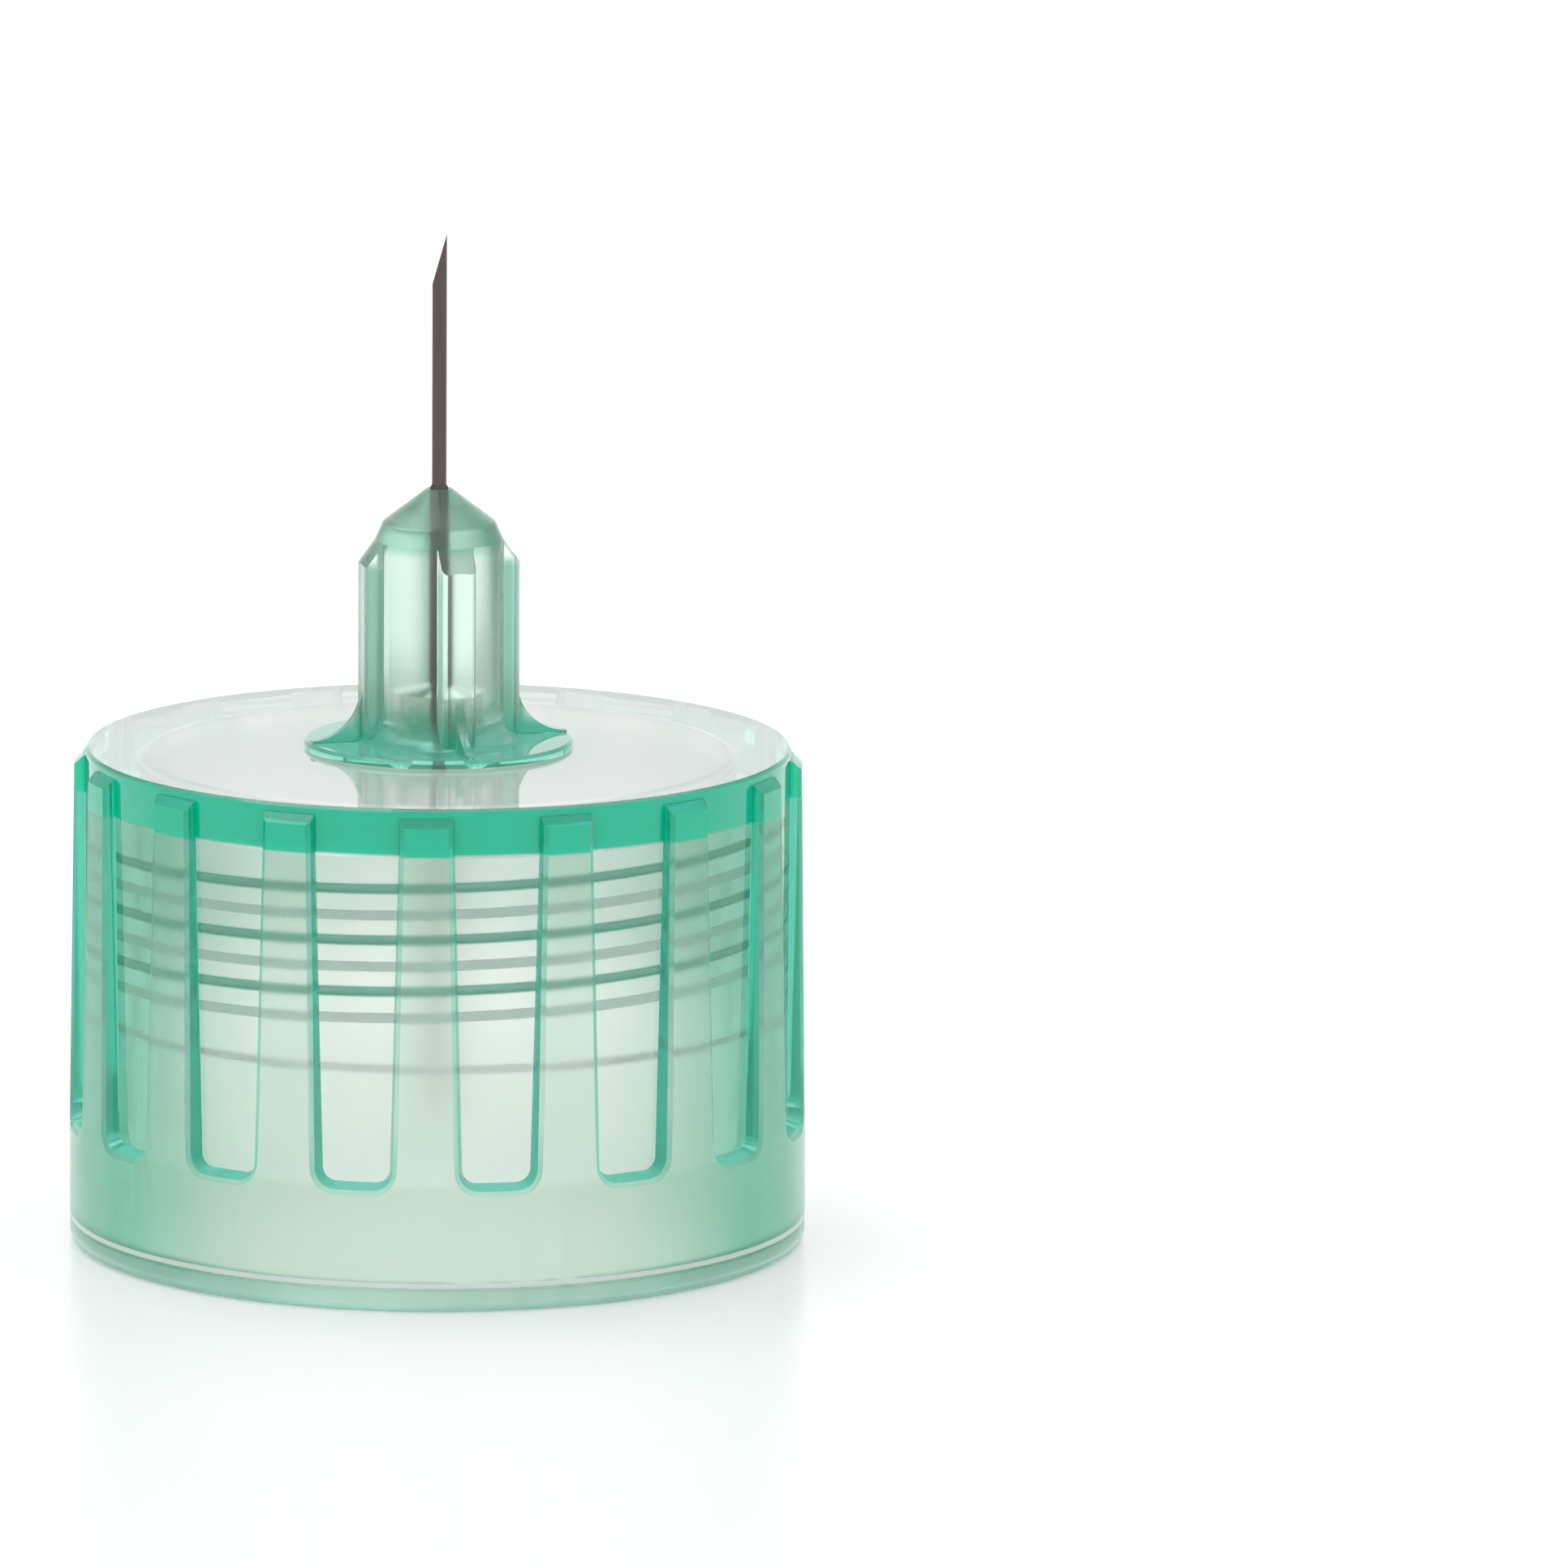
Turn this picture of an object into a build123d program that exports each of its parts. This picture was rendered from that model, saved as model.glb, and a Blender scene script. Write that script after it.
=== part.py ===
from build123d import *
import os
from math import cos, radians, sin

# Pen needle: a clear moulded hub with a finned post, a double-ended cannula and its bond.
# Millimetres. Z runs up the needle. The origin is the centre of the rim that the hub
# stands on, and X and Y run through the middles of four lands of the grip.

os.makedirs("parts", exist_ok=True)

# Bore and pen thread
thread_root_diameter = 9.30
thread_pitch = 0.80
thread_turns = 3.0
thread_height = 0.22
thread_root_width = 0.54
thread_crest_width = 0.28
thread_top_gap = 0.60
pilot_bore_step = 0.08
pilot_bore_gap = 0.09
mouth_chamfer = 0.35
cavity_corner_chamfer = 0.12

# Skirt and its grip panels
skirt_height = 7.80
plate_thickness = 0.75
panel_wall = 0.85
panel_depth = 0.25
panel_count = 16
panel_top_width = 1.35
panel_foot_width = 1.05
panel_corner_radius = 0.22
panel_draft = 26.0
plain_band_height = 1.99
land_taper = 0.08
land_end_drop = 0.14
land_end_chamfer = 0.14
land_edge_chamfer = 0.05
face_edge_chamfer = 0.05
rim_edge_chamfer = 0.10

# Post, fins and foot
post_core_diameter = 2.00
fin_count = 4
fin_turn = 17.0
fin_width = 0.55
fin_reach = 0.25
fin_corner_radius = 0.10
fin_root_radius = 0.04
post_height = 4.05
post_tip_radius = 0.20
cone_base_radius = 0.88
cone_height = 0.52
shoulder_drop = 0.28
fin_top_drop = 0.34
crown_radius = 0.12
foot_fillet_radius = 0.42
web_radius = 0.80
web_thickness = 0.13
web_tip_height = 0.04
boss_height = 0.12
boss_edge_chamfer = 0.05

# Well in the post and its bond
well_radius = 0.50
well_top_gap = 0.92
bond_gap = 0.045
bond_foot_height = 0.85
bond_foot_rise = 0.16
bond_cap_height = 0.07

# Cannula
cannula_diameter = 0.23
cannula_bore_diameter = 0.12
exposed_length = 4.00
rear_length = 5.30
bevel_angle = 16.0
lancet_angle = 24.0
lancet_turn = 38.0
grind_size = 2.60

# Sizes that follow
thread_root_radius = thread_root_diameter / 2
pilot_bore_radius = thread_root_radius + pilot_bore_step
panel_floor_radius = thread_root_radius + panel_wall
band_radius = panel_floor_radius + panel_depth
land_top_radius = band_radius - land_taper
land_top = skirt_height - land_end_drop
grip_seat_radius = panel_floor_radius - panel_depth / 2
plate_underside = skirt_height - plate_thickness
thread_length = thread_pitch * thread_turns
thread_start = plate_underside - thread_top_gap - thread_length
pilot_bore_top = thread_start - thread_root_width / 2 - pilot_bore_gap
thread_root_sink = panel_wall / 10
flank_spread = (thread_root_width - thread_crest_width) / thread_height
sunk_width = thread_root_width + flank_spread * thread_root_sink
post_core_radius = post_core_diameter / 2
fin_radius = post_core_radius + fin_reach
web_reach = fin_radius + web_radius
boss_radius = web_reach + boss_edge_chamfer
boss_top = skirt_height + boss_height
post_top = skirt_height + post_height
well_top = post_top - well_top_gap
cannula_radius = cannula_diameter / 2
bond_radius = cannula_radius + bond_gap
needle_tip = post_top + exposed_length
rear_tip = plate_underside - rear_length

# Cutter for one grip panel: tapered, round at the foot, open at the face, with drafted sides
with BuildPart() as panel_cutter:
    with BuildSketch(Plane.YZ.offset(panel_floor_radius)) as panel_outline:
        with BuildLine():
            FilletPolyline(
                (-panel_top_width / 2, skirt_height),
                (-panel_foot_width / 2, plain_band_height),
                (panel_foot_width / 2, plain_band_height),
                (panel_top_width / 2, skirt_height),
                radius=[panel_corner_radius] * 2,
            )
            Line((panel_top_width / 2, skirt_height), (-panel_top_width / 2, skirt_height))
        make_face()
    extrude(amount=2 * panel_depth, taper=-panel_draft)
    extrude(panel_outline.sketch, amount=-panel_depth)


def on_land_side(edge: Edge) -> bool:
    """True for the long edges where a land's outer face meets a panel's side wall."""
    middle = edge @ 0.5
    outside = Vector(middle.X, middle.Y).length > land_top_radius - land_taper
    return outside and edge.length > (land_top - plain_band_height) / 2


# Grip: a sleeve round the skirt that the panels divide into lands above a plain band
with BuildPart() as grip:
    with BuildSketch(Plane.XZ) as grip_section:
        with BuildLine():
            Polyline(
                (grip_seat_radius, 0),
                (band_radius - rim_edge_chamfer, 0),
                (band_radius, rim_edge_chamfer),
                (band_radius, plain_band_height),
                (land_top_radius, land_top - land_end_chamfer),
                (land_top_radius - land_end_chamfer, land_top),
                (grip_seat_radius, land_top),
                close=True,
            )
        make_face()
    revolve(axis=Axis.Z)
    with PolarLocations(0, panel_count, start_angle=180 / panel_count):
        add(panel_cutter.part, mode=Mode.SUBTRACT)
    chamfer(grip.edges().filter_by(on_land_side), land_edge_chamfer)

# Internal thread ridge, whose flanks run a little way into the wall
with BuildPart() as thread_ridge:
    with BuildLine() as thread_path:
        Helix(thread_pitch, thread_length, thread_root_radius, center=(0, 0, thread_start))
    thread_plane = Plane(
        origin=thread_path.line @ 0, x_dir=(1, 0, 0), z_dir=thread_path.line % 0
    )
    with BuildSketch(thread_plane) as thread_section:
        with BuildLine():
            Polyline(
                (thread_root_sink, -sunk_width / 2),
                (-thread_height, -thread_crest_width / 2),
                (-thread_height, thread_crest_width / 2),
                (thread_root_sink, sunk_width / 2),
                close=True,
            )
        make_face()
    sweep(path=thread_path.line, is_frenet=True)

# One thin web that stiffens the foot of a fin, with a concave upper edge
with BuildPart() as foot_web:
    with BuildSketch(Plane.XZ) as web_outline:
        web_top = boss_top + web_tip_height + web_radius
        with BuildLine():
            web_curve = CenterArc((web_reach, web_top), web_radius, 180, 90)
            Polyline(
                web_curve @ 1,
                (web_reach, skirt_height),
                (post_core_radius, skirt_height),
                (post_core_radius, web_top),
                web_curve @ 0,
            )
        make_face()
    extrude(amount=web_thickness / 2, both=True)

# Post: round core with fins on a low boss, crowned by a cone that carries the needle
with BuildPart() as post:
    with BuildSketch(Plane.XY.offset(plate_underside)) as post_plan:
        Circle(post_core_radius)
        with PolarLocations(fin_radius / 2, fin_count, start_angle=fin_turn):
            Rectangle(fin_radius, fin_width)
        fin_corners = post_plan.vertices().filter_by(
            lambda corner: Vector(corner).length > post_core_radius + fin_reach / 2
        )
        fillet(fin_corners, fin_corner_radius)
        fin_roots = post_plan.vertices().filter_by(
            lambda corner: Vector(corner).length < post_core_radius + fin_reach / 4
        )
        fillet(fin_roots, fin_root_radius)
    extrude(amount=post_top - plate_underside)
    with BuildSketch(Plane.XZ) as crown:
        cone_base = post_top - cone_height
        shoulder = cone_base - shoulder_drop
        with BuildLine():
            FilletPolyline(
                (0, plate_underside),
                (post_core_radius + 2 * fin_reach, plate_underside),
                (post_core_radius + 2 * fin_reach, shoulder - 2 * fin_top_drop),
                (post_core_radius, shoulder),
                (cone_base_radius, cone_base),
                (post_tip_radius, post_top),
                (0, post_top),
                radius=[0, 0, crown_radius, crown_radius, 0],
            )
            Line((0, post_top), (0, plate_underside))
        make_face()
    revolve(axis=Axis.Z, mode=Mode.INTERSECT)
    with BuildSketch(Plane.XZ) as foot:
        with BuildLine():
            foot_curve = CenterArc(
                (post_core_radius + foot_fillet_radius, boss_top + foot_fillet_radius),
                foot_fillet_radius,
                180,
                90,
            )
            Polyline(
                foot_curve @ 1,
                (web_reach, boss_top),
                (boss_radius, boss_top - boss_edge_chamfer),
                (boss_radius, plate_underside),
                (0, plate_underside),
                (0, boss_top + foot_fillet_radius),
                foot_curve @ 0,
            )
        make_face()
    revolve(axis=Axis.Z)
    with PolarLocations(0, fin_count, start_angle=fin_turn):
        add(foot_web.part)

# Hub: wall and face plate turned from one section, then grip, post, well and thread
with BuildPart() as hub:
    with BuildSketch(Plane.XZ) as wall_section:
        with BuildLine():
            Polyline(
                (0, skirt_height),
                (0, plate_underside),
                (thread_root_radius - cavity_corner_chamfer, plate_underside),
                (thread_root_radius, plate_underside - cavity_corner_chamfer),
                (thread_root_radius, pilot_bore_top),
                (pilot_bore_radius, pilot_bore_top - pilot_bore_step),
                (pilot_bore_radius, mouth_chamfer),
                (pilot_bore_radius + mouth_chamfer, 0),
                (panel_floor_radius, 0),
                (panel_floor_radius, skirt_height - face_edge_chamfer),
                (panel_floor_radius - face_edge_chamfer, skirt_height),
                close=True,
            )
        make_face()
    revolve(axis=Axis.Z)
    add(grip.part)
    add(post.part)
    with BuildSketch(Plane.XY.offset(plate_underside)):
        Circle(well_radius)
    extrude(amount=well_top - plate_underside, mode=Mode.SUBTRACT)
    with BuildSketch(Plane.XY.offset(well_top)):
        Circle(bond_radius)
    extrude(amount=post_top - well_top, mode=Mode.SUBTRACT)
    add(thread_ridge.part)

# Adhesive: fills the upper well round the cannula, with a hollow foot and a small cap
with BuildPart() as adhesive:
    with BuildSketch(Plane.XZ) as bond_section:
        bond_foot = skirt_height + bond_foot_height
        with BuildLine():
            Polyline(
                (cannula_radius, bond_foot + bond_foot_rise),
                (well_radius, bond_foot),
                (well_radius, well_top),
                (bond_radius, well_top),
                (bond_radius, post_top),
                (cannula_radius, post_top + bond_cap_height),
                close=True,
            )
        make_face()
    revolve(axis=Axis.Z)


def grind_plane(tip: Vector, angle: float, turn: float, end: int) -> Plane:
    """Plane of one grind through the tip: end is +1 at the top and -1 at the bottom."""
    normal = Vector(
        -cos(radians(angle)) * cos(radians(turn)),
        -cos(radians(angle)) * sin(radians(turn)),
        end * sin(radians(angle)),
    )
    return Plane(origin=tip, z_dir=normal)


# Cannula: one tube, ground to a lancet point at both ends
with BuildPart() as cannula:
    with BuildSketch(Plane.XY.offset(rear_tip)):
        Circle(cannula_radius)
        Circle(cannula_bore_diameter / 2, mode=Mode.SUBTRACT)
    extrude(amount=needle_tip - rear_tip)
    for end, height in ((1, needle_tip), (-1, rear_tip)):
        tip = Vector(cannula_radius, 0, height)
        for angle, turn in (
            (bevel_angle, 0),
            (lancet_angle, lancet_turn),
            (lancet_angle, -lancet_turn),
        ):
            with BuildSketch(grind_plane(tip, angle, turn, end)):
                Rectangle(grind_size, grind_size)
            extrude(amount=grind_size, mode=Mode.SUBTRACT)

hub.part.label = "hub"
adhesive.part.label = "adhesive"
cannula.part.label = "cannula"

export_step(hub.part, "parts/hub.step")
export_step(adhesive.part, "parts/adhesive.step")
export_step(cannula.part, "parts/cannula.step")
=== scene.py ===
"""Looks of a single-use pen needle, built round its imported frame.

The moulded hub, the ground cannula and the cured bond are dressed here. Sizes are in metres and
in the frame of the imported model: +Z runs up the needle and the rim of the hub stands on Z = 0.
"""

import logging
import math
from dataclasses import dataclass, field
from enum import Enum

import bmesh
import bpy
from mathutils import Matrix, Vector


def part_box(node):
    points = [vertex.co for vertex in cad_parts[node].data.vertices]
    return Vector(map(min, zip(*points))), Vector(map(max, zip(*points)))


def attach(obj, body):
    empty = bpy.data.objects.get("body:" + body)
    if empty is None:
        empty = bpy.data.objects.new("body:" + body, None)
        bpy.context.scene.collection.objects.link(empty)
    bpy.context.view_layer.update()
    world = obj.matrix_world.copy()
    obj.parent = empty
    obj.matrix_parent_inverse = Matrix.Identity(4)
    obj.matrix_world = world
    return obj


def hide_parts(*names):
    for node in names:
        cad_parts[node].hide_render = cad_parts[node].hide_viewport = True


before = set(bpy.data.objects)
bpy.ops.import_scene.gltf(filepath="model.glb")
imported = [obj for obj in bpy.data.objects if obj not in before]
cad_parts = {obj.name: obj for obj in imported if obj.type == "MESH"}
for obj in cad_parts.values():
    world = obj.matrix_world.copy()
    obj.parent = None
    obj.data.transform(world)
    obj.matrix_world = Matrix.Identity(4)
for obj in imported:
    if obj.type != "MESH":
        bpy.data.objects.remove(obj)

LOG = logging.getLogger("pen_needle")
MM = 0.001
BODY = "root"

# How often light may turn in the clear walls before it is dropped.
CLEAR_BOUNCES = 32
GLOSSY_BOUNCES = 24

# Places closer than this to a cutting plane count as lying in it.
CUT_TOLERANCE = 1e-9

WHITE = (1.0, 1.0, 1.0, 1.0)

Colour = tuple[float, float, float]
Socket = bpy.types.NodeSocket


class Slot(Enum):
    """Material slots of the record, by name; the pieces here build their own finish and don't use
    them.
    """

    HUB = "hub_plastic"
    NEEDLE = "needle_steel"
    BOND = "clear_bond"


class Area(Enum):
    """Areas of the hub that differ in tint, painted shade or highlight, gloss or cloudiness."""

    LAND = "land between two grip panels"
    LAND_TOP_SHADE = "upper part of a land"
    LAND_END_SHADE = "chamfered end of a land"
    BAND = "plain band below the panels"
    SILHOUETTE_SHADE = "outer wall where it is seen at a grazing angle"
    PANEL_SIDE_SHADE = "side wall of a panel"
    PLATE_EDGE_SHADE = "outer edge of the face plate"
    FACE = "top of the face plate"
    MOUTH = "mouth of the cavity"
    MOUTH_HIGHLIGHT = "light line round the wall above the mouth"
    INSIDE = "wall of the cavity"
    BORE_STEP = "step above the plain bore"
    UPPER_FLANK_SHADE = "upper flank of the pen thread"
    LOWER_FLANK = "lower flank of the pen thread"
    POST = "centre post"
    POST_SIDE_SHADE = "side of a fin"
    CONE_SHADE = "cone of the post"
    FOOT_SHADE = "foot of the post"


class Measure(Enum):
    """What the areas of the hub are told apart by."""

    ACROSS = "distance from the needle's axis"
    HEIGHT = "height above the rim"
    RADIAL = "share of the normal along the radius"
    UPWARD = "upward share of the normal on the side that is seen"
    SKYWARD = "upward share of the normal that points out of the plastic"
    GRAZING = "how flat the surface is seen"


@dataclass(frozen=True)
class Limit:
    """One bound of an area, as a soft step over a measure.

    The area's share is 0 where the measure has its first value and 1 where it has its second.
    """

    measure: Measure
    without: float
    within: float


def across(place: Vector) -> float:
    """Measure how far a place lies from the needle's axis.

    Args:
        place: the place, in metres.

    Returns:
        Its distance from the axis.
    """
    return math.hypot(place.x, place.y)


def opaque(colour: Colour) -> tuple[float, ...]:
    """Add a full alpha to a colour.

    Args:
        colour: red, green and blue, each from 0 to 1.

    Returns:
        The colour with its alpha.
    """
    return (*colour, 1.0)


def new_object(name: str, shape: bmesh.types.BMesh, finish: bpy.types.Material) -> bpy.types.Object:
    """Turn a finished bmesh into an object at the origin.

    Args:
        name: name of the piece.
        shape: the bmesh, in metres in the frame's own place. It is freed here.
        finish: material of the piece.

    Returns:
        The linked object.
    """
    mesh = bpy.data.meshes.new(name)
    shape.to_mesh(mesh)
    shape.free()
    mesh.materials.append(finish)
    piece = bpy.data.objects.new(name, mesh)
    bpy.context.scene.collection.objects.link(piece)
    return piece


def shade_by_angle(piece: bpy.types.Object, crease_angle: float) -> None:
    """Shade a piece smooth and keep the edges sharper than an angle.

    Args:
        piece: the object to shade.
        crease_angle: largest angle in degrees between faces that still shade as one.
    """
    shape = bmesh.new()
    shape.from_mesh(piece.data)
    for face in shape.faces:
        face.smooth = True
    limit = math.radians(crease_angle)
    for edge in shape.edges:
        edge.smooth = edge.is_manifold and edge.calc_face_angle(0.0) < limit
    shape.to_mesh(piece.data)
    shape.free()


class NodeBook:
    """Small helper that writes a material's or the world's node tree."""

    def __init__(self, tree: bpy.types.NodeTree) -> None:
        """Start on an empty tree.

        Args:
            tree: the node tree to fill.
        """
        self.tree = tree
        tree.nodes.clear()

    def add(self, kind: str, **values: object) -> bpy.types.Node:
        """Add a node and set its properties.

        Args:
            kind: Blender's type name of the node.
            values: properties of the node, by name.

        Returns:
            The new node.
        """
        node = self.tree.nodes.new(kind)
        for name, value in values.items():
            setattr(node, name, value)
        return node

    def feed(self, target: Socket, value: object) -> None:
        """Give an input its value.

        Args:
            target: the input socket.
            value: an output socket to link to it, or a number or colour of its own.
        """
        if isinstance(value, Socket):
            self.tree.links.new(value, target)
        else:
            target.default_value = value

    def math(self, operation: str, *terms: object) -> Socket:
        """Add one sum, product or other operation on numbers.

        Args:
            operation: Blender's name of the operation.
            terms: numbers or output sockets, in the order of the node's inputs.

        Returns:
            The socket that holds the result.
        """
        node = self.add("ShaderNodeMath", operation=operation)
        for target, term in zip(node.inputs, terms):
            self.feed(target, term)
        return node.outputs[0]

    def product(self, *shares: Socket) -> Socket:
        """Multiply shares.

        Args:
            shares: one or more sockets.

        Returns:
            The socket that holds their product.
        """
        result = shares[0]
        for share in shares[1:]:
            result = self.math("MULTIPLY", result, share)
        return result

    def step(self, value: Socket, low: float, high: float) -> Socket:
        """Add a smooth step from 0 to 1.

        Args:
            value: socket that the step runs over.
            low: value at which the step is 0.
            high: value at which it is 1. It may be the smaller of the two.

        Returns:
            The socket that holds the step.
        """
        node = self.add("ShaderNodeMapRange", interpolation_type="SMOOTHSTEP")
        self.feed(node.inputs["Value"], value)
        node.inputs["From Min"].default_value = min(low, high)
        node.inputs["From Max"].default_value = max(low, high)
        node.inputs["To Min"].default_value = 0.0 if low < high else 1.0
        node.inputs["To Max"].default_value = 1.0 if low < high else 0.0
        return node.outputs["Result"]

    def between(self, share: Socket, first: object, second: object) -> Socket:
        """Add a blend of two numbers.

        Args:
            share: socket that holds the second number's share, from 0 to 1.
            first: a number, or a socket that holds one.
            second: the other number, or its socket.

        Returns:
            The socket that holds the blended number.
        """
        node = self.add("ShaderNodeMapRange")
        self.feed(node.inputs["Value"], share)
        self.feed(node.inputs["To Min"], first)
        self.feed(node.inputs["To Max"], second)
        return node.outputs["Result"]

    def blend(self, share: Socket, first: object, second: object) -> Socket:
        """Add a blend of two colours.

        Args:
            share: socket that holds the second colour's share, from 0 to 1.
            first: a colour, or a socket that holds one.
            second: the other colour, or its socket.

        Returns:
            The socket that holds the blended colour.
        """
        node = self.add("ShaderNodeMix", data_type="RGBA")
        self.feed(node.inputs["Factor"], share)
        for name, colour in (("A", first), ("B", second)):
            target = next(s for s in node.inputs if s.type == "RGBA" and s.name == name)
            self.feed(target, colour if isinstance(colour, Socket) else opaque(colour))
        return next(s for s in node.outputs if s.type == "RGBA")

    def split(self, vector: Socket) -> dict[str, Socket]:
        """Split a vector.

        Args:
            vector: socket that holds it.

        Returns:
            The sockets of its parts, by the axis letters X, Y and Z.
        """
        apart = self.add("ShaderNodeSeparateXYZ")
        self.feed(apart.inputs[0], vector)
        return {name: apart.outputs[name] for name in "XYZ"}

    def distance_from_axis(self, place: Socket) -> Socket:
        """Measure how far places lie from the needle's axis.

        Args:
            place: socket that holds the place.

        Returns:
            The socket that holds the distance.
        """
        parts = self.split(place)
        squares = [self.math("MULTIPLY", parts[name], parts[name]) for name in "XY"]
        return self.math("SQRT", self.math("ADD", *squares))

    def outward_share(self, place: Socket, normal: Socket) -> Socket:
        """Say how far a surface faces away from the needle's axis.

        Args:
            place: place on the surface.
            normal: its normal.

        Returns:
            The socket that holds the normal's share along the radius, from -1 to 1.
        """
        flat = self.add("ShaderNodeVectorMath", operation="MULTIPLY")
        self.feed(flat.inputs[0], place)
        flat.inputs[1].default_value = (1.0, 1.0, 0.0)
        radius = self.add("ShaderNodeVectorMath", operation="NORMALIZE")
        self.feed(radius.inputs[0], flat.outputs["Vector"])
        product = self.add("ShaderNodeVectorMath", operation="DOT_PRODUCT")
        self.feed(product.inputs[0], radius.outputs["Vector"])
        self.feed(product.inputs[1], normal)
        return product.outputs["Value"]

    def seen(self) -> Socket:
        """Tell what is seen from what only lights the needle.

        Returns:
            The socket of a share that is 1 for what is seen straight, mirrored or through.
        """
        path = self.add("ShaderNodeLightPath").outputs
        straight = self.math("MAXIMUM", path["Is Camera Ray"], path["Is Glossy Ray"])
        return self.math("MAXIMUM", straight, path["Is Transmission Ray"])

    def noise(self, place: Socket, scale: float, detail: float) -> Socket:
        """Add a noise pattern.

        Args:
            place: socket that holds the place, in metres.
            scale: number of features to the metre.
            detail: how many finer layers the pattern has.

        Returns:
            The socket that holds the pattern, from 0 to 1.
        """
        node = self.add("ShaderNodeTexNoise")
        self.feed(node.inputs["Vector"], place)
        node.inputs["Scale"].default_value = scale
        node.inputs["Detail"].default_value = detail
        return node.outputs["Fac"]

    def bump(self, height: Socket, distance: float, strength: float) -> Socket:
        """Add a bump.

        Args:
            height: socket that holds the height pattern, from 0 to 1.
            distance: full height of the pattern in metres.
            strength: share of it that shows.

        Returns:
            The socket that holds the bent normal.
        """
        node = self.add("ShaderNodeBump")
        self.feed(node.inputs["Height"], height)
        node.inputs["Distance"].default_value = distance
        node.inputs["Strength"].default_value = strength
        return node.outputs["Normal"]

    def surface(self, values: dict[str, object]) -> bpy.types.Node:
        """Add a Principled surface and the material's output.

        Args:
            values: the surface's inputs by name, as sockets or values of their own.

        Returns:
            The output node.
        """
        shader = self.add("ShaderNodeBsdfPrincipled")
        for name, value in values.items():
            self.feed(shader.inputs[name], value)
        output = self.add("ShaderNodeOutputMaterial")
        self.feed(output.inputs["Surface"], shader.outputs["BSDF"])
        return output


def new_material(name: str) -> tuple[bpy.types.Material, NodeBook]:
    """Start a material.

    Args:
        name: name of the material.

    Returns:
        The material and the book of its empty node tree.
    """
    material = bpy.data.materials.new(name)
    material.use_nodes = True
    return material, NodeBook(material.node_tree)


@dataclass(frozen=True)
class ThreadShadeLine:
    """The helical line that the upper flank of the pen thread draws through the clear wall, where a
    dark teal painted shade is laid.

    Turns are counted along the helix from its start. The line's foot and head are heights above
    the middle of the ridge.
    """

    start: float = 4.05 * MM
    pitch: float = 0.80 * MM
    first_turn: tuple[float, float] = (-0.45, -0.40)
    last_turn: tuple[float, float] = (2.50, 2.45)
    foot: tuple[float, float] = (0.09 * MM, 0.13 * MM)
    head: tuple[float, float] = (0.32 * MM, 0.28 * MM)

    def share(self, book: NodeBook, place: Socket) -> Socket:
        """Mark the line on every turn of the thread.

        Args:
            book: the material's nodes.
            place: place on the surface.

        Returns:
            The socket that holds the line's share, from 0 to 1, at any distance from the axis.
        """
        parts = book.split(place)
        angle = book.math("ARCTAN2", parts["Y"], parts["X"])
        round_share = book.math("FRACT", book.math("DIVIDE", angle, 2 * math.pi))
        climb = book.math("DIVIDE", book.math("SUBTRACT", parts["Z"], self.start), self.pitch)
        turn = book.math("SUBTRACT", climb, round_share)
        half = 0.5
        beside = book.math("SUBTRACT", book.math("FRACT", book.math("ADD", turn, half)), half)
        above = book.math("MULTIPLY", beside, self.pitch)
        return book.product(
            book.step(turn, *self.first_turn),
            book.step(turn, *self.last_turn),
            book.step(above, *self.foot),
            book.step(above, *self.head),
        )


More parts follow.
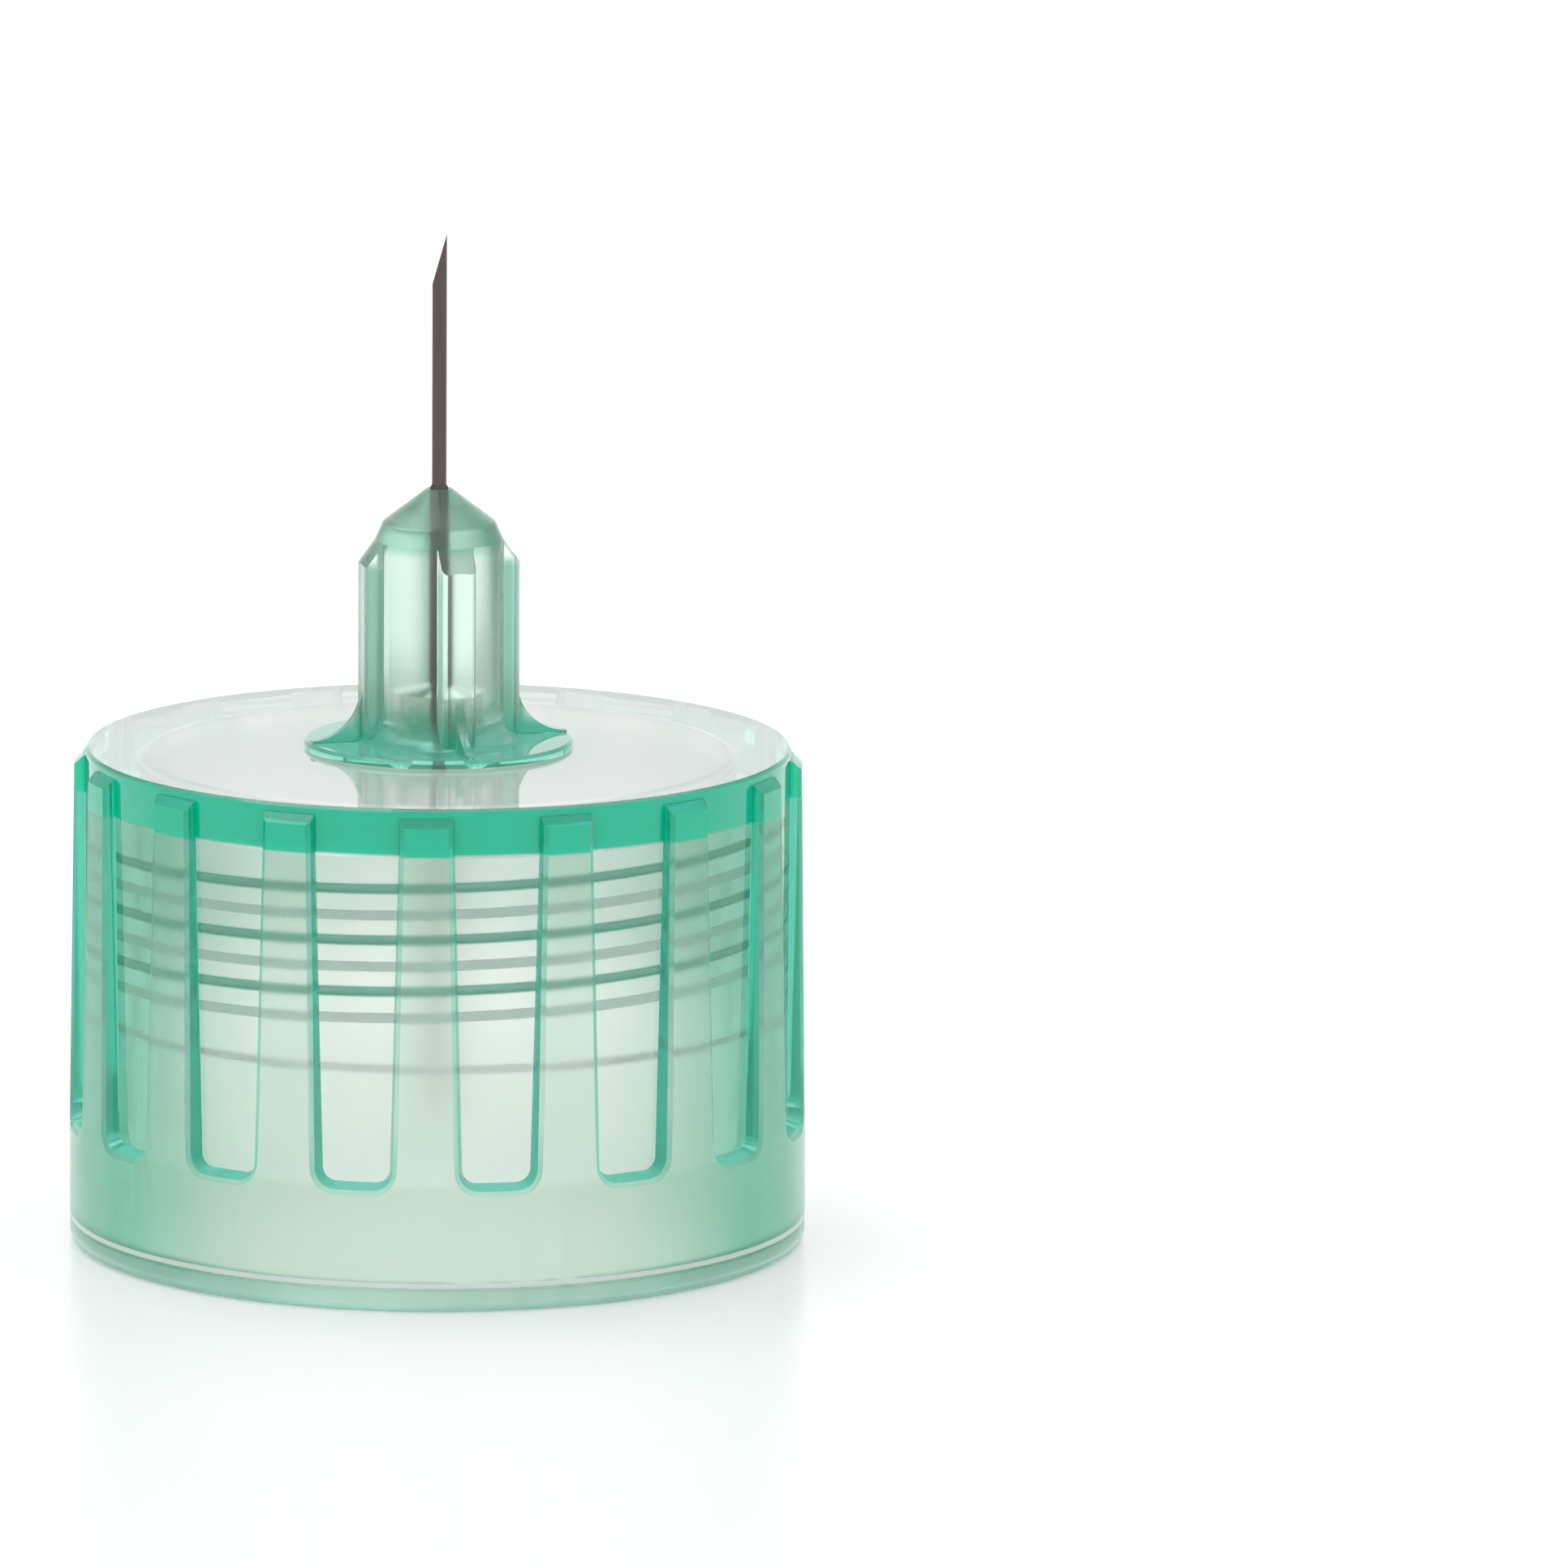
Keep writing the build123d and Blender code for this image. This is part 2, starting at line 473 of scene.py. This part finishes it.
@dataclass(frozen=True)
class HubMap:
    """Limits of the hub's areas."""

    post_wall: Limit = Limit(Measure.ACROSS, 1.42 * MM, 1.32 * MM)
    fin_root: Limit = Limit(Measure.ACROSS, 0.98 * MM, 1.02 * MM)
    foot_rim: Limit = Limit(Measure.ACROSS, 2.20 * MM, 2.12 * MM)
    thread_crest: Limit = Limit(Measure.ACROSS, 4.30 * MM, 4.42 * MM)
    lower_root: Limit = Limit(Measure.ACROSS, 4.66 * MM, 4.64 * MM)
    upper_root: Limit = Limit(Measure.ACROSS, 4.72 * MM, 4.70 * MM)
    bore_wall: Limit = Limit(Measure.ACROSS, 4.98 * MM, 4.96 * MM)
    outer_wall: Limit = Limit(Measure.ACROSS, 4.98 * MM, 5.40 * MM)
    skin: Limit = Limit(Measure.ACROSS, 5.40 * MM, 5.48 * MM)
    face_rim: Limit = Limit(Measure.ACROSS, 5.49 * MM, 5.45 * MM)
    panel_floor: Limit = Limit(Measure.ACROSS, 5.49 * MM, 5.52 * MM)
    land_wall: Limit = Limit(Measure.ACROSS, 5.53 * MM, 5.64 * MM)

    mouth_head: Limit = Limit(Measure.HEIGHT, 0.36 * MM, 0.32 * MM)
    highlight_foot: Limit = Limit(Measure.HEIGHT, 0.38 * MM, 0.40 * MM)
    highlight_head: Limit = Limit(Measure.HEIGHT, 0.48 * MM, 0.46 * MM)
    panel_foot: Limit = Limit(Measure.HEIGHT, 0.93 * MM, 1.86 * MM)
    band_head: Limit = Limit(Measure.HEIGHT, 2.06 * MM, 1.86 * MM)
    step_foot: Limit = Limit(Measure.HEIGHT, 3.56 * MM, 3.60 * MM)
    step_head: Limit = Limit(Measure.HEIGHT, 3.74 * MM, 3.70 * MM)
    land_climb: Limit = Limit(Measure.HEIGHT, 4.50 * MM, 6.90 * MM)
    thread_head: Limit = Limit(Measure.HEIGHT, 6.92 * MM, 6.80 * MM)
    ceiling: Limit = Limit(Measure.HEIGHT, 7.10 * MM, 7.06 * MM)
    plate_foot: Limit = Limit(Measure.HEIGHT, 7.05 * MM, 7.11 * MM)
    face_foot: Limit = Limit(Measure.HEIGHT, 7.70 * MM, 7.78 * MM)
    plate_head: Limit = Limit(Measure.HEIGHT, 7.79 * MM, 7.76 * MM)
    above_face: Limit = Limit(Measure.HEIGHT, 7.80 * MM, 7.83 * MM)
    foot_head: Limit = Limit(Measure.HEIGHT, 8.50 * MM, 8.00 * MM)
    fin_head: Limit = Limit(Measure.HEIGHT, 10.80 * MM, 10.60 * MM)
    cone_foot: Limit = Limit(Measure.HEIGHT, 10.85 * MM, 11.05 * MM)

    panel_turn: Limit = Limit(Measure.RADIAL, 0.93, 0.75)
    fin_turn: Limit = Limit(Measure.RADIAL, 0.85, 0.55)
    end_tilt: Limit = Limit(Measure.UPWARD, 0.30, 0.70)
    face_tilt: Limit = Limit(Measure.UPWARD, 0.80, 0.95)
    flank_tilt: Limit = Limit(Measure.SKYWARD, -0.20, -0.50)
    grazing: Limit = Limit(Measure.GRAZING, 0.05, 0.55)

    thread_shade_line: ThreadShadeLine = ThreadShadeLine()

    def limits(self) -> dict[Area, tuple[Limit, ...]]:
        """Enclose each area.

        Returns:
            The limits within which each area lies.
        """
        plate_edge_shade = (self.outer_wall, self.plate_foot, self.plate_head)
        post = (self.above_face, self.post_wall)
        return {
            Area.LAND: (self.land_wall,),
            Area.LAND_TOP_SHADE: (self.land_wall, self.land_climb),
            Area.LAND_END_SHADE: (*plate_edge_shade, self.end_tilt),
            Area.BAND: (self.land_wall, self.band_head),
            Area.SILHOUETTE_SHADE: (self.skin, self.grazing),
            Area.PANEL_SIDE_SHADE: (self.panel_turn, self.panel_floor, self.panel_foot),
            Area.PLATE_EDGE_SHADE: plate_edge_shade,
            Area.FACE: (self.face_tilt, self.face_foot, self.face_rim),
            Area.MOUTH: (self.mouth_head,),
            Area.MOUTH_HIGHLIGHT: (self.outer_wall, self.highlight_foot, self.highlight_head),
            Area.INSIDE: (self.bore_wall, self.ceiling),
            Area.BORE_STEP: (self.bore_wall, self.step_foot, self.step_head),
            Area.UPPER_FLANK_SHADE: (self.upper_root, self.thread_crest),
            Area.LOWER_FLANK: (
                self.lower_root,
                self.thread_crest,
                self.thread_head,
                self.flank_tilt,
            ),
            Area.POST: post,
            Area.POST_SIDE_SHADE: (*post, self.fin_root, self.fin_turn, self.fin_head),
            Area.CONE_SHADE: (*post, self.cone_foot),
            Area.FOOT_SHADE: (self.above_face, self.foot_rim, self.foot_head),
        }

    def measures(self, book: NodeBook, place: Socket, normal: Socket) -> dict[Measure, Socket]:
        """Add the nodes that measure a place on the hub.

        Args:
            book: the material's nodes.
            place: place on the surface.
            normal: its normal, on the side that is seen.

        Returns:
            The socket of each measure.
        """
        upward = book.split(normal)["Z"]
        from_within = book.add("ShaderNodeNewGeometry").outputs["Backfacing"]
        return {
            Measure.ACROSS: book.distance_from_axis(place),
            Measure.HEIGHT: book.split(place)["Z"],
            Measure.RADIAL: book.math("ABSOLUTE", book.outward_share(place, normal)),
            Measure.UPWARD: upward,
            Measure.SKYWARD: book.product(upward, book.between(from_within, 1.0, -1.0)),
            Measure.GRAZING: book.add("ShaderNodeLayerWeight").outputs["Facing"],
        }

    def shares(self, book: NodeBook) -> dict[Area, Socket]:
        """Add the nodes that tell the hub's areas apart.

        Args:
            book: the material's nodes.

        Returns:
            The socket of each area's share, from 0 to 1.
        """
        coordinates = book.add("ShaderNodeTexCoord")
        place, normal = coordinates.outputs["Object"], coordinates.outputs["Normal"]
        measures = self.measures(book, place, normal)
        areas = self.limits()
        steps = {
            limit: book.step(measures[limit.measure], limit.without, limit.within)
            for limits in areas.values()
            for limit in limits
        }
        shares = {
            area: book.product(*(steps[limit] for limit in limits))
            for area, limits in areas.items()
        }
        # Narrow the upper flank's painted shade to the thread's helical line.
        line = self.thread_shade_line.share(book, place)
        shares[Area.UPPER_FLANK_SHADE] = book.product(line, shares[Area.UPPER_FLANK_SHADE])
        return shares


@dataclass(frozen=True)
class ClearPolypropylene:
    """Teal-tinted clear polypropylene: polished windows and post, satin lands, hazy inside.

    The windows in the grip panels are the ground, and the other areas are laid over it in the order
    given. Besides the plastic's own colour, the table lays painted shade and one painted highlight.
    Haze is the share of light that the plastic scatters and doesn't let through.
    """

    areas: HubMap = field(default_factory=HubMap)
    window_tint: Colour = (1.0, 0.95, 0.94)
    tints_and_painted_light: tuple[tuple[Area, Colour], ...] = (
        (Area.LAND, (0.86, 0.91, 0.85)),
        # Painted shade: the lands darken towards the top, over the thread that lies behind them.
        (Area.LAND_TOP_SHADE, (0.60, 0.78, 0.63)),
        (Area.BAND, (0.67, 0.77, 0.65)),
        # Painted shade: deep green where the outer wall is seen at a grazing angle.
        (Area.SILHOUETTE_SHADE, (0.13, 0.66, 0.42)),
        (Area.MOUTH, (0.84, 0.98, 0.90)),
        # Painted highlight: a pale line round the wall above the mouth.
        (Area.MOUTH_HIGHLIGHT, (0.96, 1.0, 0.97)),
        # Painted shade: dark teal lines along the panels' side walls.
        (Area.PANEL_SIDE_SHADE, (0.12, 0.72, 0.54)),
        # Painted shade: dark teal lines on the thread's upper flank, where light runs along the
        # wall.
        (Area.UPPER_FLANK_SHADE, (0.05, 0.52, 0.36)),
        (Area.LOWER_FLANK, (1.0, 1.0, 1.0)),
        # Painted shade: a dark teal band round the plate's edge, laid over the land ends as well.
        (Area.PLATE_EDGE_SHADE, (0.0, 0.64, 0.38)),
        (Area.LAND_END_SHADE, (0.0, 0.58, 0.34)),
        (Area.POST, (0.84, 0.89, 0.82)),
        # Painted shade: darker green on the sides of the post's fins.
        (Area.POST_SIDE_SHADE, (0.34, 0.68, 0.54)),
        # Painted shade: an even, darker green over the cone of the post.
        (Area.CONE_SHADE, (0.34, 0.64, 0.49)),
        # Painted shade: teal over the post's foot and the boss's rim, covering their bright edges.
        (Area.FOOT_SHADE, (0.18, 0.74, 0.56)),
    )
    window_roughness: float = 0.04
    roughnesses: tuple[tuple[Area, float], ...] = (
        (Area.LAND, 0.26),
        (Area.PLATE_EDGE_SHADE, 0.04),
        (Area.INSIDE, 0.38),
        (Area.MOUTH, 0.38),
        (Area.POST, 0.26),
        (Area.LOWER_FLANK, 0.95),
        (Area.BORE_STEP, 0.95),
    )
    window_haze: float = 0.02
    # Haze on the painted areas lets their painted colour show as a matte layer.
    hazes: tuple[tuple[Area, float], ...] = (
        (Area.LAND, 0.10),
        (Area.PLATE_EDGE_SHADE, 0.90),
        (Area.PANEL_SIDE_SHADE, 0.34),
        (Area.UPPER_FLANK_SHADE, 0.70),
        (Area.LOWER_FLANK, 0.0),
        (Area.FACE, 0.40),
        (Area.POST_SIDE_SHADE, 0.35),
        (Area.CONE_SHADE, 0.12),
        (Area.FOOT_SHADE, 0.28),
        (Area.MOUTH_HIGHLIGHT, 0.70),
    )
    absorption: Colour = (0.10, 0.82, 0.70)
    density: float = 110.0
    refraction: float = 1.49
    gloss: float = 0.3
    gloss_roughness: float = 0.04

    def material(self) -> bpy.types.Material:
        """Build the hub's material.

        Returns:
            The material, with a tinted volume inside its surface.
        """
        material, book = new_material("clear_polypropylene")
        shares = self.areas.shares(book)
        tint, roughness, haze = self.window_tint, self.window_roughness, self.window_haze
        # Lay the plastic's own colours and the painted shade and highlight over the windows'
        # colour.
        for area, colour in self.tints_and_painted_light:
            tint = book.blend(shares[area], tint, colour)
        for area, value in self.roughnesses:
            roughness = book.between(shares[area], roughness, value)
        for area, value in self.hazes:
            haze = book.between(shares[area], haze, value)
        output = book.surface(
            {
                "Base Color": tint,
                "Roughness": roughness,
                "Transmission Weight": book.math("SUBTRACT", 1.0, haze),
                "IOR": self.refraction,
                "Coat Weight": self.gloss,
                "Coat Roughness": self.gloss_roughness,
            }
        )
        volume = book.add("ShaderNodeVolumeAbsorption")
        volume.inputs["Color"].default_value = opaque(self.absorption)
        volume.inputs["Density"].default_value = self.density
        book.feed(output.inputs["Volume"], volume.outputs["Volume"])
        return material


@dataclass(frozen=True)
class BondedWall:
    """Faces where the bond wets the plastic: both refract alike, so light runs straight on."""

    tint: Colour = (0.99, 1.0, 0.99)
    refraction: float = 1.002

    def material(self) -> bpy.types.Material:
        """Build the wetted faces' material.

        Returns:
            The material.
        """
        material, book = new_material("bonded_wall")
        book.surface(
            {
                "Base Color": opaque(self.tint),
                "Roughness": 0.0,
                "IOR": self.refraction,
                "Transmission Weight": 1.0,
            }
        )
        return material


@dataclass(frozen=True)
class DrawnSteel:
    """Dark bright-drawn stainless steel with fine lines along the tube."""

    colour: Colour = (0.10, 0.078, 0.075)
    pale_colour: Colour = (0.16, 0.13, 0.125)
    smoothest: float = 0.192
    roughest: float = 0.288
    line_stretch: float = 40.0
    lines_per_metre: float = 30000.0
    line_detail: float = 3.0
    line_depth: float = 0.002 * MM
    line_strength: float = 0.4

    def material(self) -> bpy.types.Material:
        """Build the needle's material.

        Returns:
            The material.
        """
        material, book = new_material("drawn_steel")
        stretch = book.add("ShaderNodeMapping", vector_type="POINT")
        book.feed(stretch.inputs["Vector"], book.add("ShaderNodeTexCoord").outputs["Object"])
        stretch.inputs["Scale"].default_value = (1.0, 1.0, 1.0 / self.line_stretch)
        lines = book.noise(stretch.outputs["Vector"], self.lines_per_metre, self.line_detail)
        book.surface(
            {
                "Base Color": book.blend(lines, self.colour, self.pale_colour),
                "Roughness": book.between(lines, self.smoothest, self.roughest),
                "Normal": book.bump(lines, self.line_depth, self.line_strength),
                "Metallic": 1.0,
            }
        )
        return material


@dataclass(frozen=True)
class CuredBond:
    """Clear light-cured adhesive with a slightly uneven skin."""

    tint: Colour = (0.97, 0.99, 0.98)
    smoothest: float = 0.02
    roughest: float = 0.06
    mottles_per_metre: float = 2500.0
    mottle_detail: float = 2.0
    refraction: float = 1.50

    def material(self) -> bpy.types.Material:
        """Build the bond's material.

        Returns:
            The material.
        """
        material, book = new_material("cured_bond")
        place = book.add("ShaderNodeTexCoord").outputs["Object"]
        mottle = book.noise(place, self.mottles_per_metre, self.mottle_detail)
        book.surface(
            {
                "Base Color": opaque(self.tint),
                "Roughness": book.between(mottle, self.smoothest, self.roughest),
                "IOR": self.refraction,
                "Transmission Weight": 1.0,
            }
        )
        return material


@dataclass(frozen=True)
class GlossySweep:
    """White acrylic sheet that the needle stands on."""

    colour: Colour = (0.95, 0.95, 0.95)
    roughness: float = 0.22
    specular: float = 0.16
    glow: float = 0.24
    glow_through: float = 0.50

    def material(self) -> bpy.types.Material:
        """Build the sheet's material.

        Returns:
            The material. It glows only for what is seen, and more through the plastic.
        """
        material, book = new_material("white_acrylic")
        through = book.add("ShaderNodeLightPath").outputs["Is Transmission Ray"]
        plain_glow = book.between(book.seen(), 0.0, self.glow)
        book.surface(
            {
                "Base Color": opaque(self.colour),
                "Roughness": self.roughness,
                "Specular IOR Level": self.specular,
                "Emission Color": WHITE,
                "Emission Strength": book.between(through, plain_glow, self.glow_through),
            }
        )
        return material


@dataclass
class Hub:
    """The moulded hub: skirt with grip panels, face plate, post and pen thread."""

    node: str = "hub"
    merge_distance: float = 0.0005 * MM
    crease_angle: float = 28.0
    normal_weight: int = 50
    seat_margin: float = 1.04
    upright_share: float = 0.1
    finish: ClearPolypropylene = field(default_factory=ClearPolypropylene)
    wetted: BondedWall = field(default_factory=BondedWall)

    def mark_seat(self, shape: bmesh.types.BMesh) -> None:
        """Give the faces that the bond wets the second material.

        Args:
            shape: the hub. Its well is cut at the height of the bond's foot.
        """
        low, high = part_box("adhesive")
        reach = high.x * self.seat_margin
        well = [
            face
            for face in shape.faces
            if across(face.calc_center_median()) < reach
            and abs(face.normal.z) < self.upright_share
        ]
        edges = dict.fromkeys(edge for face in well for edge in face.edges)
        verts = dict.fromkeys(vert for face in well for vert in face.verts)
        bmesh.ops.bisect_plane(
            shape,
            geom=[*well, *edges, *verts],
            dist=CUT_TOLERANCE,
            plane_co=(0.0, 0.0, low.z),
            plane_no=(0.0, 0.0, 1.0),
        )
        for face in shape.faces:
            inner = all(across(vert.co) < reach for vert in face.verts)
            below_top = max(vert.co.z for vert in face.verts) < high.z
            above_foot = face.calc_center_median().z > low.z
            if inner and above_foot and below_top and not self.is_outside(face):
                face.material_index = 1

    def is_outside(self, face: bmesh.types.BMFace) -> bool:
        """Tell a face of the cone near the needle from one of the well.

        Args:
            face: the face.

        Returns:
            True if the face looks up or away from the axis.
        """
        middle = face.calc_center_median()
        away = Vector((middle.x, middle.y, 0.0))
        looks_up = face.normal.z > self.upright_share
        return looks_up or face.normal.dot(away) > self.upright_share * away.length

    def build(self) -> bpy.types.Object:
        """Make a merged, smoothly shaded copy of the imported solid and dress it.

        Returns:
            The hub, which stands for its CAD node.
        """
        shape = bmesh.new()
        shape.from_mesh(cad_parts[self.node].data)
        bmesh.ops.remove_doubles(shape, verts=shape.verts, dist=self.merge_distance)
        bmesh.ops.dissolve_degenerate(shape, dist=self.merge_distance, edges=shape.edges)
        self.mark_seat(shape)
        piece = new_object("moulded_hub", shape, self.finish.material())
        piece.data.materials.append(self.wetted.material())
        shade_by_angle(piece, self.crease_angle)
        weights = piece.modifiers.new("flat faces keep their normal", "WEIGHTED_NORMAL")
        weights.keep_sharp = True
        weights.weight = self.normal_weight
        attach(piece, BODY)
        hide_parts(self.node)
        return piece


@dataclass
class Cannula:
    """The double-ended tube with a three-faced lancet point at each end."""

    node: str = "cannula"
    bore_diameter: float = 0.12 * MM
    sides: int = 48
    bevel_angle: float = 16.0
    lancet_angle: float = 24.0
    lancet_turn: float = 38.0
    crease_angle: float = 14.0
    finish: DrawnSteel = field(default_factory=DrawnSteel)

    def tube(self) -> tuple[bmesh.types.BMesh, float]:
        """Make the plain closed tube over the CAD node's length.

        Returns:
            The bmesh and the tube's outer radius.
        """
        low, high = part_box(self.node)
        radius = high.y
        shape = bmesh.new()
        rings = []
        for ring_radius in (radius, self.bore_diameter / 2):
            made = bmesh.ops.create_circle(
                shape,
                segments=self.sides,
                radius=ring_radius,
                matrix=Matrix.Translation((0.0, 0.0, low.z)),
            )
            rings += dict.fromkeys(edge for vert in made["verts"] for edge in vert.link_edges)
        foot = bmesh.ops.bridge_loops(shape, edges=rings)["faces"]
        grown = bmesh.ops.extrude_face_region(shape, geom=foot, use_keep_orig=True)["geom"]
        top = [part for part in grown if isinstance(part, bmesh.types.BMVert)]
        bmesh.ops.translate(shape, verts=top, vec=(0.0, 0.0, high.z - low.z))
        bmesh.ops.recalc_face_normals(shape, faces=shape.faces)
        return shape, radius

    def grind(
        self, shape: bmesh.types.BMesh, tip: Vector, angle: float, turn: float, end: int
    ) -> None:
        """Cut one flat through the tip and close the cut.

        Args:
            shape: the tube.
            tip: the point that stays.
            angle: angle in degrees between the flat and the tube's axis.
            turn: angle in degrees by which the flat is turned round the axis.
            end: +1 for the upper point and -1 for the lower one.
        """
        lean, spin = math.radians(angle), math.radians(turn)
        away = Vector(
            (
                -math.cos(lean) * math.cos(spin),
                -math.cos(lean) * math.sin(spin),
                end * math.sin(lean),
            )
        )
        cut = bmesh.ops.bisect_plane(
            shape,
            geom=shape.verts[:] + shape.edges[:] + shape.faces[:],
            dist=CUT_TOLERANCE,
            plane_co=tip,
            plane_no=away,
            clear_outer=True,
        )["geom_cut"]
        rim = [part for part in cut if isinstance(part, bmesh.types.BMEdge)]
        bmesh.ops.triangle_fill(shape, edges=rim, use_beauty=True, use_dissolve=True)

    def build(self) -> bpy.types.Object:
        """Make the ground tube and dress it.

        Returns:
            The cannula, which stands for its CAD node.
        """
        low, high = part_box(self.node)
        shape, radius = self.tube()
        for end, height in ((1, high.z), (-1, low.z)):
            tip = Vector((radius, 0.0, height))
            self.grind(shape, tip, self.bevel_angle, 0.0, end)
            for turn in (self.lancet_turn, -self.lancet_turn):
                self.grind(shape, tip, self.lancet_angle, turn, end)
        bmesh.ops.recalc_face_normals(shape, faces=shape.faces)
        piece = new_object("ground_cannula", shape, self.finish.material())
        shade_by_angle(piece, self.crease_angle)
        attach(piece, BODY)
        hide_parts(self.node)
        return piece


@dataclass
class Bond:
    """The cured adhesive in the post's well."""

    node: str = "adhesive"
    merge_distance: float = 0.0005 * MM
    seat_gap: float = 0.003 * MM
    end_depth: float = 0.5 * MM
    upright_share: float = 0.2
    crease_angle: float = 28.0
    finish: CuredBond = field(default_factory=CuredBond)
    wetted: BondedWall = field(default_factory=BondedWall)

    def build(self) -> bpy.types.Object:
        """Make the bond a hair smaller than its well and dress it.

        Returns:
            The bond, which stands for its CAD node.
        """
        shape = bmesh.new()
        shape.from_mesh(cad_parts[self.node].data)
        bmesh.ops.remove_doubles(shape, verts=shape.verts, dist=self.merge_distance)
        for vert in shape.verts:
            vert.co -= vert.normal * self.seat_gap
        low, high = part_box(self.node)
        for face in shape.faces:
            height = face.calc_center_median().z
            upright = abs(face.normal.z) < self.upright_share
            if upright or low.z + self.end_depth < height < high.z - self.end_depth:
                face.material_index = 1
        piece = new_object("bond_in_well", shape, self.finish.material())
        piece.data.materials.append(self.wetted.material())
        shade_by_angle(piece, self.crease_angle)
        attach(piece, BODY)
        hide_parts(self.node)
        return piece


@dataclass
class Studio:
    """Pale floor, white surroundings and one soft box above the needle."""

    floor_size: float = 1.2
    ambient: float = 0.80
    backdrop: float = 1.0
    near_side: float = 0.50
    backdrop_depth: tuple[float, float] = (-0.45, 0.35)
    backdrop_side: tuple[float, float] = (0.60, 0.25)
    backdrop_top: tuple[float, float] = (0.45, 0.85)
    box_place: tuple[float, float, float] = (-0.08, 0.05, 0.30)
    box_power: float = 0.12
    box_size: float = 0.18
    finish: GlossySweep = field(default_factory=GlossySweep)

    def floor(self) -> None:
        """Lay the sheet under the rim."""
        shape = bmesh.new()
        bmesh.ops.create_grid(shape, x_segments=1, y_segments=1, size=self.floor_size / 2)
        piece = new_object("acrylic_sheet", shape, self.finish.material())

    def world(self) -> None:
        """Light the room evenly, with a white backdrop that fades to the sides and the front."""
        room = bpy.data.worlds.new("white_tent")
        bpy.context.scene.world = room
        room.use_nodes = True
        book = NodeBook(room.node_tree)
        parts = book.split(book.add("ShaderNodeTexCoord").outputs["Generated"])
        behind = book.product(
            book.step(parts["Y"], *self.backdrop_depth),
            book.step(book.math("ABSOLUTE", parts["X"]), *self.backdrop_side),
        )
        white = book.math("MAXIMUM", behind, book.step(parts["Z"], *self.backdrop_top))
        shown = book.between(white, self.near_side, self.backdrop)
        room_light = book.add("ShaderNodeBackground")
        room_light.inputs["Color"].default_value = WHITE
        strength = book.between(book.seen(), self.ambient, shown)
        book.feed(room_light.inputs["Strength"], strength)
        output = book.add("ShaderNodeOutputWorld")
        book.feed(output.inputs["Surface"], room_light.outputs["Background"])

    def soft_box(self) -> None:
        """Hang the square lamp so that it faces the middle of the rim."""
        lamp = bpy.data.lights.new("soft_box_above", "AREA")
        lamp.shape = "SQUARE"
        lamp.size = self.box_size
        lamp.energy = self.box_power
        hung = bpy.data.objects.new("soft_box_above", lamp)
        place = Vector(self.box_place)
        hung.location = place
        hung.rotation_euler = (-place).to_track_quat("-Z", "Y").to_euler()
        bpy.context.scene.collection.objects.link(hung)

    def build(self) -> None:
        """Set up the floor, the room and the lamp."""
        self.floor()
        self.world()
        self.soft_box()


@dataclass
class PhotoCamera:
    """Camera at the photograph's viewing angle."""

    target: Vector = field(default_factory=lambda: Vector((0.0, 0.0, 6.0 * MM)))
    azimuth: float = 0.55
    elevation: float = 10.537
    roll: float = 0.371
    distance: float = 242.8 * MM
    shift_right: float = -5.390 * MM
    shift_up: float = -1.1605 * MM
    frame_width: float = 1932.0
    focal_length: float = 19184.4
    sensor_width: float = 36.0
    near_share: float = 0.1
    far_share: float = 20.0

    def build(self) -> bpy.types.Object:
        """Set up the camera.

        Returns:
            The scene's camera.
        """
        azimuth, elevation, roll = (
            math.radians(angle) for angle in (self.azimuth, self.elevation, self.roll)
        )
        ahead = Vector(
            (
                -math.sin(azimuth) * math.cos(elevation),
                math.cos(azimuth) * math.cos(elevation),
                -math.sin(elevation),
            )
        )
        level = Vector((math.cos(azimuth), math.sin(azimuth), 0.0))
        upright = level.cross(ahead)
        right = math.cos(roll) * level + math.sin(roll) * upright
        up = math.cos(roll) * upright - math.sin(roll) * level
        lens = bpy.data.cameras.new("photo_camera")
        lens.sensor_width = self.sensor_width
        lens.lens = self.focal_length * self.sensor_width / self.frame_width
        lens.clip_start = self.distance * self.near_share
        lens.clip_end = self.distance * self.far_share
        camera = bpy.data.objects.new("photo_camera", lens)
        place = self.target - ahead * self.distance
        place -= right * self.shift_right + up * self.shift_up
        turn = Matrix((right, up, -ahead)).transposed().to_4x4()
        camera.matrix_world = Matrix.Translation(place) @ turn
        bpy.context.scene.collection.objects.link(camera)
        bpy.context.scene.camera = camera
        return camera


def set_light_paths() -> None:
    """Let light cross the clear walls and run along them, and show colours as they are."""
    scene = bpy.context.scene
    scene.view_settings.view_transform = "Standard"
    scene.cycles.max_bounces = CLEAR_BOUNCES
    scene.cycles.glossy_bounces = GLOSSY_BOUNCES
    scene.cycles.transmission_bounces = CLEAR_BOUNCES


def main() -> None:
    """Build the camera, the studio and the pieces in order."""
    logging.basicConfig(level=logging.INFO, format="%(name)s: %(message)s")
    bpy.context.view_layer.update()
    set_light_paths()
    PhotoCamera().build()
    Studio().build()
    for maker in (Hub(), Cannula(), Bond()):
        piece = maker.build()
        LOG.info("%s: %d faces", piece.name, len(piece.data.polygons))


if __name__ == "__main__":
    main()
